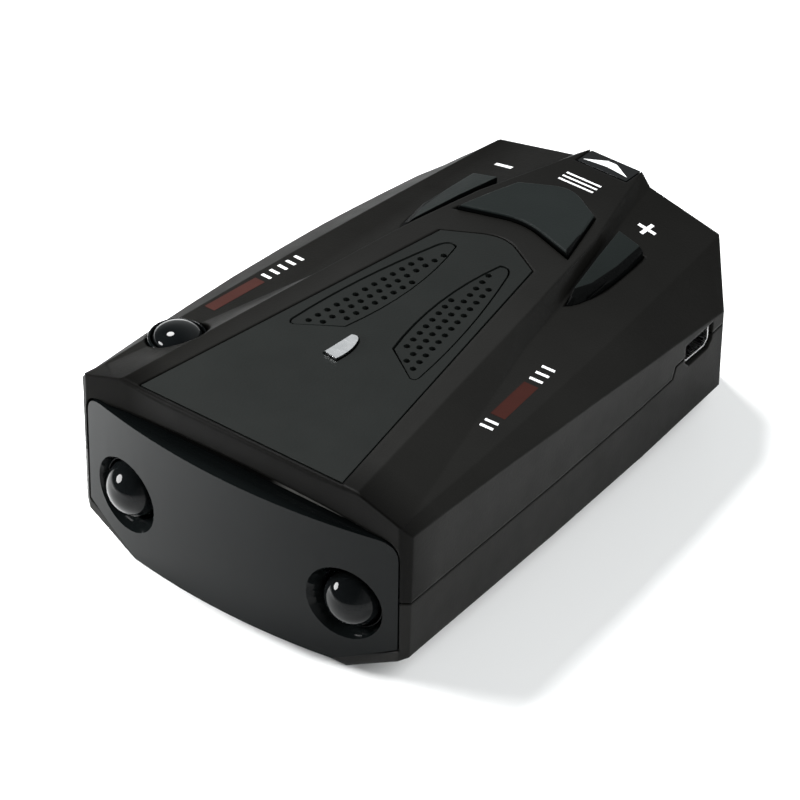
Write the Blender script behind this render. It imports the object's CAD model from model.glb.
import math

import bmesh
import bpy
from mathutils import Matrix, Vector
from mathutils.bvhtree import BVHTree


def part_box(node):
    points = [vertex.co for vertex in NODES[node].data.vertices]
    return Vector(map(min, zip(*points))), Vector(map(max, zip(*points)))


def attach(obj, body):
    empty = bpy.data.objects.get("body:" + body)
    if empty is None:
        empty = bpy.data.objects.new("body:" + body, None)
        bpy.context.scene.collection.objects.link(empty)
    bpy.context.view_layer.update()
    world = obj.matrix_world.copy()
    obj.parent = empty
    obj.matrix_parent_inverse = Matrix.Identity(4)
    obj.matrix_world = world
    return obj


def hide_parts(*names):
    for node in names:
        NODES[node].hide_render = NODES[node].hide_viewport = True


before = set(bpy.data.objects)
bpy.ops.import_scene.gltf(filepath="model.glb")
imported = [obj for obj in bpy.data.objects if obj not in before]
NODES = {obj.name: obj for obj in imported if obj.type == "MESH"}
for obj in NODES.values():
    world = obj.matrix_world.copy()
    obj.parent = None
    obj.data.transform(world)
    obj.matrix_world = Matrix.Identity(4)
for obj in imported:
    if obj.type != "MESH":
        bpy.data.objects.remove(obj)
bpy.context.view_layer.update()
SCENE = bpy.context.scene
MM = 0.001

FLOOR_REACH = 4  # metres from the middle to each side
CLOUD_SCALE = 70  # noise scales, per metre
GLOSS_SCALE = 160
BRUSH_SCALE = 900
SCRATCH_SCALE = 2500
WELD_DISTANCE = 0.000002
FLAT_FOR_MESH = math.radians(0.6)  # faces closer than this join into one
FLAT_FOR_SOLID = math.radians(0.8)
SHARP_FOR_BEVEL = math.radians(24)
SHARP_FOR_SHADE = math.radians(26)
NORMAL_WEIGHT = 60
INK = 0.03  # mm above the surface, and as much below it
OVERHEAD = 0.06  # a height above the whole object
TOP_FACING = 0.7  # upward part of a normal that still counts as a top
RIDGE = (4, 12)  # segments of a rounded edge, and the least angle in degrees that gets one
FINE_EDGE = (2, 35)
KEY_RIM = (3, 14)
WINDOW_RIM = (5, 30)


# ------------------------------------------------------------------ camera, floor and light
def aim(obj, target):
    direction = Vector(target) - obj.location
    obj.rotation_euler = direction.to_track_quat("-Z", "Y").to_euler()


def make_camera():
    """The photograph's viewing angle: azimuth, elevation and roll in degrees, distance in metres."""
    azimuth, elevation, roll = (math.radians(a) for a in (36.31, 38.37, 0.98))
    distance = 0.76512
    back = Vector((math.sin(azimuth) * math.cos(elevation),
                   -math.cos(azimuth) * math.cos(elevation), math.sin(elevation)))
    right = Vector((math.cos(azimuth), math.sin(azimuth), 0))
    up = back.cross(right)
    c, s = math.cos(roll), math.sin(roll)
    right, up = c * right + s * up, c * up - s * right
    data = bpy.data.cameras.new("camera")
    data.sensor_width = 36
    data.lens = 221.19
    data.shift_x = -0.0319
    data.shift_y = 0.0803
    data.clip_start = 0.01
    data.clip_end = 20
    cam = bpy.data.objects.new("camera", data)
    turn = Matrix((right, up, back)).transposed().to_4x4()
    cam.matrix_world = Matrix.Translation(back * distance) @ turn
    SCENE.collection.objects.link(cam)
    SCENE.camera = cam


def area_light(name, location, target, size, power):
    data = bpy.data.lights.new(name, "AREA")
    data.shape = "DISK"
    data.size = size
    data.energy = power
    lamp = bpy.data.objects.new(name, data)
    lamp.location = location
    lamp.visible_camera = False
    aim(lamp, target)
    SCENE.collection.objects.link(lamp)
    return lamp


def make_floor():
    mesh = bpy.data.meshes.new("floor")
    bm = bmesh.new()
    bmesh.ops.create_grid(bm, x_segments=2, y_segments=2, size=FLOOR_REACH)
    bm.to_mesh(mesh)
    bm.free()
    floor = bpy.data.objects.new("floor", mesh)
    SCENE.collection.objects.link(floor)
    mat, nt, shader = new_material("floor_paper")
    shader.inputs["Base Color"].default_value = (0.93, 0.94, 0.94, 1)
    shader.inputs["Roughness"].default_value = 0.9
    mesh.materials.append(mat)


def make_world():
    """Bright around the horizon and behind, dark overhead in front, like a flag over a light tent."""
    middle_of_dark = (-0.42, -0.62, 0.66)
    tent = [(0.0, (0.96, 0.99, 1.0)), (0.55, (0.02, 0.02, 0.02))]
    world = bpy.data.worlds.new("studio")
    world.use_nodes = True
    nt = world.node_tree
    background = nt.nodes["Background"]
    background.inputs["Strength"].default_value = 0.75
    coord = nt.nodes.new("ShaderNodeTexCoord")
    facing = nt.nodes.new("ShaderNodeVectorMath")
    facing.operation = "DOT_PRODUCT"
    facing.inputs[1].default_value = middle_of_dark
    nt.links.new(coord.outputs["Generated"], facing.inputs[0])
    nt.links.new(ramp(nt, facing.outputs["Value"], tent), background.inputs["Color"])
    SCENE.world = world


def make_light():
    SCENE.view_settings.view_transform = "Standard"
    make_world()
    area_light("key", (-0.50, 0.157, 0.84), (0, 0, 0), 0.27, 13.0)
    area_light("fill_right", (0.70, -0.20, 0.75), (0, 0, 0), 0.75, 9.5).visible_glossy = False
    area_light("front_pool", (-0.115, -0.120, 0.07), (-0.060, -0.072, 0), 0.06, 0.50)


# ------------------------------------------------------------------ node materials
def new_material(name):
    mat = bpy.data.materials.new(name)
    mat.use_nodes = True
    nt = mat.node_tree
    nt.nodes.clear()
    out = nt.nodes.new("ShaderNodeOutputMaterial")
    shader = nt.nodes.new("ShaderNodeBsdfPrincipled")
    nt.links.new(shader.outputs["BSDF"], out.inputs["Surface"])
    return mat, nt, shader


def noise(nt, scale, detail, rough=0.5, stretch=None):
    coord = nt.nodes.new("ShaderNodeTexCoord")
    node = nt.nodes.new("ShaderNodeTexNoise")
    node.inputs["Scale"].default_value = scale
    node.inputs["Detail"].default_value = detail
    node.inputs["Roughness"].default_value = rough
    if stretch:
        mapping = nt.nodes.new("ShaderNodeMapping")
        mapping.inputs["Scale"].default_value = stretch
        nt.links.new(coord.outputs["Object"], mapping.inputs["Vector"])
        nt.links.new(mapping.outputs["Vector"], node.inputs["Vector"])
    else:
        nt.links.new(coord.outputs["Object"], node.inputs["Vector"])
    return node.outputs["Fac"]


def ramp(nt, source, stops):
    node = nt.nodes.new("ShaderNodeValToRGB")
    elements = node.color_ramp.elements
    while len(elements) < len(stops):
        elements.new(0.5)
    for element, (at, colour) in zip(elements, stops):
        element.position = at
        element.color = (*colour, 1)
    nt.links.new(source, node.inputs["Fac"])
    return node.outputs["Color"]


def grey_ramp(nt, source, low, high):
    return ramp(nt, source, [(0.3, (low,) * 3), (0.7, (high,) * 3)])


def bump(nt, shader, height, strength, distance, edge=0):
    """Surface grain; with an edge radius the shading also rolls softly over every corner."""
    node = nt.nodes.new("ShaderNodeBump")
    if edge:
        soft = nt.nodes.new("ShaderNodeBevel")
        soft.samples = 8
        soft.inputs["Radius"].default_value = edge
        nt.links.new(soft.outputs["Normal"], node.inputs["Normal"])
    node.inputs["Strength"].default_value = strength
    node.inputs["Distance"].default_value = distance
    nt.links.new(height, node.inputs["Height"])
    nt.links.new(node.outputs["Normal"], shader.inputs["Normal"])


def moulded(name, dark, light, rough, grain=2600, strength=0.35, depth=0.00006, specular=0.5, edge=0):
    """Moulded plastic: spark-eroded grain, faint cloudy colour, uneven gloss."""
    mat, nt, shader = new_material(name)
    nt.links.new(ramp(nt, noise(nt, CLOUD_SCALE, 4), [(0.3, dark), (0.7, light)]), shader.inputs["Base Color"])
    nt.links.new(grey_ramp(nt, noise(nt, GLOSS_SCALE, 5, 0.6), *rough), shader.inputs["Roughness"])
    shader.inputs["Specular IOR Level"].default_value = specular
    bump(nt, shader, noise(nt, grain, 2.0, 0.6), strength, depth, edge)
    return mat


MATERIALS = {
    "case_plastic": moulded("case_plastic_grain", (0.0054, 0.0053, 0.0048), (0.0068, 0.0067, 0.0061),
                            (0.40, 0.48), specular=0.075, edge=0.0006),
    "plate_plastic": moulded("plate_plastic_grain", (0.0054, 0.0064, 0.0059), (0.0066, 0.0078, 0.0072),
                             (0.38, 0.46), specular=0.08),
    "key_plastic": moulded("key_plastic_grain", (0.0060, 0.0080, 0.0077), (0.0076, 0.0100, 0.0097),
                           (0.42, 0.50), specular=0.06, edge=0.0003),
    "window_plastic": moulded("window_plastic_gloss", (0.0020, 0.0026, 0.0027), (0.0030, 0.0037, 0.0038),
                              (0.06, 0.10), 900, 0.02, 0.00002, specular=0.07),
    "lens_plastic": moulded("lens_plastic_gloss", (0.0025, 0.0030, 0.0032), (0.0040, 0.0046, 0.0050),
                            (0.02, 0.05), 900, 0.01, 0.00002, specular=0.11),
    "display_glass": moulded("display_glass_gloss", (0.0040, 0.0044, 0.0048), (0.0060, 0.0066, 0.0070),
                             (0.05, 0.10), 900, 0.02, 0.00002, specular=0.3),
    "rubber": moulded("rubber_matt", (0.010, 0.010, 0.010), (0.016, 0.016, 0.016), (0.75, 0.92), 1800, 0.5,
                      0.00008),
    "white_plastic": moulded("white_plastic_milky", (0.72, 0.72, 0.70), (0.80, 0.80, 0.78), (0.35, 0.5),
                             1500, 0.05, 0.00003),
    "black_plastic": moulded("black_plastic_grain", (0.0022, 0.0022, 0.0024), (0.0034, 0.0034, 0.0036),
                             (0.4, 0.6), specular=0.04),
    "brow_base": moulded("brow_base_satin", (0.0500, 0.0500, 0.0470), (0.0600, 0.0600, 0.0570),
                         (0.25, 0.32), 900, 0.05, 0.00003, specular=0.25),
    "key_edge": moulded("key_edge_satin", (0.0010, 0.0012, 0.0012), (0.0016, 0.0018, 0.0018),
                        (0.42, 0.5), specular=0.03, edge=0.0003),
    "print_white": moulded("print_white_ink", (0.74, 0.75, 0.75), (0.82, 0.83, 0.83), (0.45, 0.6),
                           2200, 0.1, 0.00003, specular=0.2),
    "print_red": moulded("print_red_ink", (0.022, 0.0062, 0.0045), (0.034, 0.0092, 0.0066), (0.45, 0.6),
                         2200, 0.1, 0.00003, specular=0.06),
    "board": moulded("board_mask", (0.006, 0.06, 0.028), (0.010, 0.085, 0.04), (0.2, 0.35), 700, 0.1, 0.00005),
    "cone_paper": moulded("cone_paper_pulp", (0.016, 0.013, 0.010), (0.028, 0.023, 0.018), (0.8, 0.95),
                          1400, 0.6, 0.0001),
    "label": moulded("label_foil", (0.20, 0.205, 0.21), (0.25, 0.255, 0.26), (0.3, 0.4), 1500, 0.05, 0.00003),
}


def along_axis(nt, axis, start, end):
    """0 to 1 along one axis of the object, in metres."""
    coord = nt.nodes.new("ShaderNodeTexCoord")
    split = nt.nodes.new("ShaderNodeSeparateXYZ")
    nt.links.new(coord.outputs["Object"], split.inputs["Vector"])
    node = nt.nodes.new("ShaderNodeMapRange")
    node.inputs["From Min"].default_value = start
    node.inputs["From Max"].default_value = end
    nt.links.new(split.outputs[axis], node.inputs["Value"])
    return node.outputs["Result"]


def multiplied(nt, first, second):
    mix = nt.nodes.new("ShaderNodeMix")
    mix.data_type = "RGBA"
    mix.blend_type = "MULTIPLY"
    mix.inputs["Factor"].default_value = 1.0
    nt.links.new(first, mix.inputs["A"])
    nt.links.new(second, mix.inputs["B"])
    return mix.outputs["Result"]


def graded(name, source, axis, start, end, stops):
    """A copy of a plastic whose tone and sheen change along one axis: stops are (place, tone, sheen)."""
    mat = MATERIALS[source].copy()
    mat.name = name
    nt = mat.node_tree
    shader = nt.nodes["Principled BSDF"]
    place = along_axis(nt, axis, start, end)
    colour, sheen = shader.inputs["Base Color"], shader.inputs["Specular IOR Level"]
    tone = ramp(nt, place, [(at, (shade,) * 3) for at, shade, _ in stops])
    nt.links.new(multiplied(nt, colour.links[0].from_socket, tone), colour)
    if sheen.is_linked:
        level = ramp(nt, place, [(at, (gloss,) * 3) for at, _, gloss in stops])
        nt.links.new(multiplied(nt, sheen.links[0].from_socket, level), sheen)
    else:
        base = sheen.default_value
        nt.links.new(ramp(nt, place, [(at, (gloss * base,) * 3) for at, _, gloss in stops]), sheen)
    return mat


# darker and duller at the brow, towards the driver's end and on the left wing
MATERIALS["cover_length"] = graded("cover_plastic_length", "case_plastic", "Y", -0.0468, 0.0495,
                                   [(0.0, 0.30, 0.4), (0.09, 1, 1), (0.45, 1, 1), (1.0, 0.75, 0.3)])
MATERIALS["cover_plastic"] = graded("cover_plastic_graded", "cover_length", "X", -0.031, -0.010,
                                    [(0.0, 0.95, 0.25), (0.5, 0.95, 0.25), (0.85, 1, 1)])
MATERIALS["base_plastic"] = graded("base_plastic_graded", "case_plastic", "Y", -0.015, 0.045,
                                   [(0.0, 1, 1), (1.0, 0.75, 0.35)])
# the crescent is black, and paler and glossier from its right third on
MATERIALS["brow_gloss"] = graded("brow_gloss_faded", "brow_base", "X", 0.0060, 0.0095,
                                 [(0.0, 0.02, 0.1), (1.0, 1, 1)])


def metal(name, colour, rough, scale=(1, 1, 1)):
    mat, nt, shader = new_material(name)
    shader.inputs["Base Color"].default_value = (*colour, 1)
    shader.inputs["Metallic"].default_value = 1
    nt.links.new(grey_ramp(nt, noise(nt, BRUSH_SCALE, 4, 0.6, scale), *rough), shader.inputs["Roughness"])
    bump(nt, shader, noise(nt, SCRATCH_SCALE, 2, 0.5, scale), 0.08, 0.00002)
    return mat


MATERIALS["plated_steel"] = metal("plated_steel_brushed", (0.62, 0.62, 0.62), (0.18, 0.34), (1, 6, 6))
MATERIALS["screw_steel"] = metal("screw_steel_zinc", (0.42, 0.42, 0.43), (0.25, 0.42))
MATERIALS["badge_metal"] = metal("badge_metal_satin", (0.80, 0.81, 0.82), (0.16, 0.28), (1, 8, 1))
MATERIALS["cast_alloy"] = metal("cast_alloy_blasted", (0.55, 0.55, 0.57), (0.4, 0.6))


# ------------------------------------------------------------------ carried-over CAD pieces
USUAL_EDGE = (0.12, 2)
EDGES = {  # node: (edge radius in mm, segments)
    "front_window": (0.25, 3), "speaker_plate": (0.14, 3), "badge": (0.22, 3), "display_window": (0.3, 3),
    "grille_left": (0.06, 2), "grille_right": (0.06, 2), "power_socket": (0.08, 2),
    "power_socket_tongue": (0.12, 2), "arrow_light_guide": (0.04, 2), "brow_trim": (0.05, 2),
}
OWN_MATERIAL = {"brow_trim": "brow_gloss"}


def dress(name, obj):
    """The record's slot tells the material. The mesh stays as it is, under modifiers that round its edges."""
    slot_name = obj.material_slots[0].material.name.split(".")[0]
    obj.material_slots[0].material = MATERIALS[OWN_MATERIAL.get(name, slot_name)]
    weld = obj.modifiers.new("weld", "WELD")
    weld.merge_threshold = WELD_DISTANCE
    radius, segments = EDGES.get(name, USUAL_EDGE)
    flat = obj.modifiers.new("flatten", "DECIMATE")
    flat.decimate_type = "DISSOLVE"
    flat.angle_limit = FLAT_FOR_MESH
    bevel = obj.modifiers.new("edges", "BEVEL")
    bevel.width = radius * MM
    bevel.segments = segments
    bevel.limit_method = "ANGLE"
    bevel.angle_limit = SHARP_FOR_BEVEL
    smooth = obj.modifiers.new("normals", "WEIGHTED_NORMAL")
    smooth.weight = NORMAL_WEIGHT
    for polygon in obj.data.polygons:
        polygon.use_smooth = True


# ------------------------------------------------------------------ rounded copies of the moulded shells
def solid_copy(name):
    """The CAD solid as clean faces: welded, with flat areas joined."""
    bm = bmesh.new()
    bm.from_mesh(NODES[name].data)
    bmesh.ops.remove_doubles(bm, verts=bm.verts, dist=WELD_DISTANCE)
    bmesh.ops.dissolve_limit(bm, angle_limit=FLAT_FOR_SOLID, verts=bm.verts, edges=bm.edges,
                             use_dissolve_boundaries=False)
    return bm


def round_edges(bm, radius, segments, least_angle, chosen):
    """Round, by radius mm, the edges sharper than least_angle degrees whose two ends pass the test."""
    least = math.radians(least_angle)
    edges = [e for e in bm.edges if e.is_manifold and abs(e.calc_face_angle_signed(0)) > least
             and chosen(e.verts[0].co, e.verts[1].co)]
    bmesh.ops.bevel(bm, geom=edges, offset=radius * MM, offset_type="OFFSET", segments=segments, profile=0.5,
                    affect="EDGES", clamp_overlap=True)


def put(name, bm, material, body, slot_name, *nodes):
    """Make a piece of the mesh, let it ride a body, and say what slot it fills and what it replaces."""
    for edge in bm.edges:
        edge.smooth = edge.is_manifold and edge.calc_face_angle(0) < SHARP_FOR_SHADE
    mesh = bpy.data.meshes.new(name)
    bm.to_mesh(mesh)
    bm.free()
    for polygon in mesh.polygons:
        polygon.use_smooth = True
    obj = bpy.data.objects.new(name, mesh)
    SCENE.collection.objects.link(obj)
    mesh.materials.append(material)
    smooth = obj.modifiers.new("normals", "WEIGHTED_NORMAL")
    smooth.keep_sharp = True
    smooth.weight = NORMAL_WEIGHT
    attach(obj, body)
    if nodes:
        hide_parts(*nodes)
    return obj


def shell(name, crease, fine, material, test):
    """A moulded half of the case: long ridges rounded by crease mm, other sharp edges by fine mm."""
    bm = solid_copy(name)
    round_edges(bm, crease, *RIDGE, test)
    round_edges(bm, fine, *FINE_EDGE, lambda a, b: (a - b).length > fine * 2 * MM)
    put(name + "_skin", bm, MATERIALS[material], "case", "case_plastic", name)


def surface_of(name):
    bm = solid_copy(name)
    tree = BVHTree.FromBMesh(bm)
    bm.free()
    return tree


def print_mark(name, strokes, material, tree):
    """Pad-printed ink: each stroke is an outline in the XY plane, in mm, laid on the surface below it."""
    bm = bmesh.new()
    for outline in strokes:
        sheet = bmesh.new()
        sheet.faces.new([sheet.verts.new((x * MM, y * MM, 0)) for x, y in outline])
        bmesh.ops.triangulate(sheet, faces=sheet.faces)
        bmesh.ops.subdivide_edges(sheet, edges=sheet.edges, cuts=4, use_grid_fill=True)
        slab = bmesh.ops.extrude_face_region(sheet, geom=sheet.faces[:])
        raised = {v for v in slab["geom"] if isinstance(v, bmesh.types.BMVert)}
        for vert in sheet.verts:
            hit = tree.ray_cast(Vector((vert.co.x, vert.co.y, OVERHEAD)), Vector((0, 0, -1)))[0]
            vert.co.z = hit.z + (INK if vert in raised else -INK) * MM
        bmesh.ops.recalc_face_normals(sheet, faces=sheet.faces)
        part = bpy.data.meshes.new("stroke")
        sheet.to_mesh(part)
        sheet.free()
        bm.from_mesh(part)
        bpy.data.meshes.remove(part)
    put(name, bm, MATERIALS[material], "case", None)


def bar(x0, y0, x1, y1, width):
    """A straight stroke between two points, as an outline."""
    along = Vector((x1 - x0, y1 - y0)).normalized() * width / 2
    side = Vector((-along.y, along.x))
    return [(x0 + side.x, y0 + side.y), (x0 - side.x, y0 - side.y), (x1 - side.x, y1 - side.y),
            (x1 + side.x, y1 + side.y)]


for node_name, node in NODES.items():
    dress(node_name, node)

# the shells, with their long ridges rounded; the brow over the window keeps its crisp corners
TOP_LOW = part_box("top_cover")[0].z + 0.0035  # the parting line, and the lip inside it, lie below this
BROW_END = -0.0420
TOP_RIDGE = 0.0035  # length of the shortest ridge to round
BASE_RIDGE = 0.012
COVER = surface_of("top_cover")
shell("top_cover", 0.6, 0.1, "cover_plastic",
      lambda a, b: (a - b).length > TOP_RIDGE and min(a.z, b.z) > TOP_LOW and max(a.y, b.y) > BROW_END)
shell("bottom_cover", 0.5, 0.1, "base_plastic", lambda a, b: (a - b).length > BASE_RIDGE)

# the keys: each top falls away in a dark band along its outer chords, and the skirt is as dark
KEY_LOW = {key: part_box(key + "_button")[0].z + 0.0022 for key in ("menu", "up", "down")}  # hidden below this
ON_CHORD = 0.00002


def key_cap(name, chords, band, drop, radius=0.18):
    """Cut the top band mm inside each outer chord, given clockwise, and lower what lies outside it by drop mm.

    The chords are in mm, seen from above; the radius of the rounded rim is in mm too.
    """
    bm = solid_copy(name + "_button")
    lines = []
    for (x0, y0), (x1, y1) in chords:
        along = Vector((x1 - x0, y1 - y0, 0)).normalized()
        out = Vector((-along.y, along.x, 0))
        foot = Vector((x0, y0, 0)) * MM - out * band * MM
        bmesh.ops.bisect_plane(bm, geom=bm.verts[:] + bm.edges[:] + bm.faces[:], plane_co=foot, plane_no=out)
        lines.append((foot, out))
    rim = set()
    for face in bm.faces:
        middle = face.calc_center_median()
        outside = any((middle - foot).dot(out) > 0 for foot, out in lines)
        if face.normal.z > TOP_FACING:
            face.material_index = 1 if outside else 0
            rim |= {v for v in face.verts if any(o.normal.z < TOP_FACING for o in v.link_faces)}
        else:
            face.material_index = 1
    for vert in rim:
        reach = max((vert.co - foot).dot(out) for foot, out in lines) / (band * MM)
        vert.co.z -= drop * MM * min(1, max(0, reach))
    bm.normal_update()
    round_edges(bm, radius, *KEY_RIM, lambda a, b: (a.z + b.z) / 2 > KEY_LOW[name])
    for face in bm.faces:
        if any((face.calc_center_median() - foot).dot(out) > -ON_CHORD for foot, out in lines):
            face.material_index = 1
    cap = put(name + "_key_cap", bm, MATERIALS["key_plastic"], name + "_key", "key_plastic", name + "_button")
    cap.data.materials.append(MATERIALS["key_edge"])


key_cap("menu", [((7.6, 36.5), (10.6, 21.6)), ((-10.6, 21.6), (-7.6, 36.5))], 0.55, 0.35, 0.4)
key_cap("up", [((17.0, 33.5), (17.45, 26.5)), ((17.45, 26.5), (17.2, 20)), ((17.2, 20), (15.4, 13.6))],
        1.1, 0.7)
key_cap("down", [((-15.4, 13.6), (-17.2, 20)), ((-17.2, 20), (-17.45, 26.5)),
                 ((-17.45, 26.5), (-17.0, 33.5))], 0.8, 0.4)

# the front window, rolled over at its rim and at the lens dishes; its hidden back stays square
window_bm = solid_copy("front_window")
WINDOW_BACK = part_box("front_window")[1].y - 0.0006
round_edges(window_bm, 0.45, *WINDOW_RIM, lambda a, b: max(a.y, b.y) < WINDOW_BACK)
put("front_window_moulding", window_bm, MATERIALS["window_plastic"], "case", "window_plastic", "front_window")

# pad-printed marks: plus, minus and a list sign beside the keys, plain stripes and ticks on the wings
print_mark("minus_mark", [bar(-16.6, 40, -13.4, 40, 0.7)], "print_white", COVER)
print_mark("plus_mark", [bar(11.5, 39.4, 14.7, 39.4, 0.65), bar(13.1, 37.8, 13.1, 39.05, 0.65),
                         bar(13.1, 39.75, 13.1, 41.0, 0.65)], "print_white", COVER)
print_mark("list_mark", [bar(-3.8, y, 2.8, y, 0.4) for y in (39.2, 40.3, 41.4)], "print_white", COVER)


def wing_line(side, start, along, out):
    """A point on the wing: distance along its printed line, and out from it towards the side."""
    return side * (start[0] - 0.095 * along + out), start[1] + along


WINGS = (  # side, name, start of the printed line, stripe from and to, places of the ticks
    (1, "right", (23.4, -19.0), (3.6, 13.4), (0.4, 1.9, 14.8, 16.6, 18.4)),
    (-1, "left", (25.0, -20.7), (0.0, 11.0), (12.4, 14.2, 16.0, 17.8, 19.6)),
)
LEAN = 0.5  # how far each stroke runs on along the line on its way out
for side, wing, start, (red_from, red_to), ticks in WINGS:
    corners = [(red_from, 0), (red_from + LEAN, 2.3), (red_to + LEAN, 2.3), (red_to, 0)]
    print_mark("stripe_" + wing, [[wing_line(side, start, *corner) for corner in corners]], "print_red", COVER)
    bars = [bar(*wing_line(side, start, at, 0.1), *wing_line(side, start, at + LEAN, 2.2), 0.55)
            for at in ticks]
    print_mark("ticks_" + wing, bars, "print_white", COVER)

# the white arrowhead on the light guide at the tail of the hump
GUIDE = surface_of("arrow_light_guide")
half_arrows = [[(side * 4.2, 46.5), (side * 0.9, 48.5), (0, 48.55), (0, 47.0), (side * 1.4, 46.85)][::side]
               for side in (1, -1)]
print_mark("arrow_mark", half_arrows, "print_white", GUIDE)

make_camera()
make_floor()
make_light()
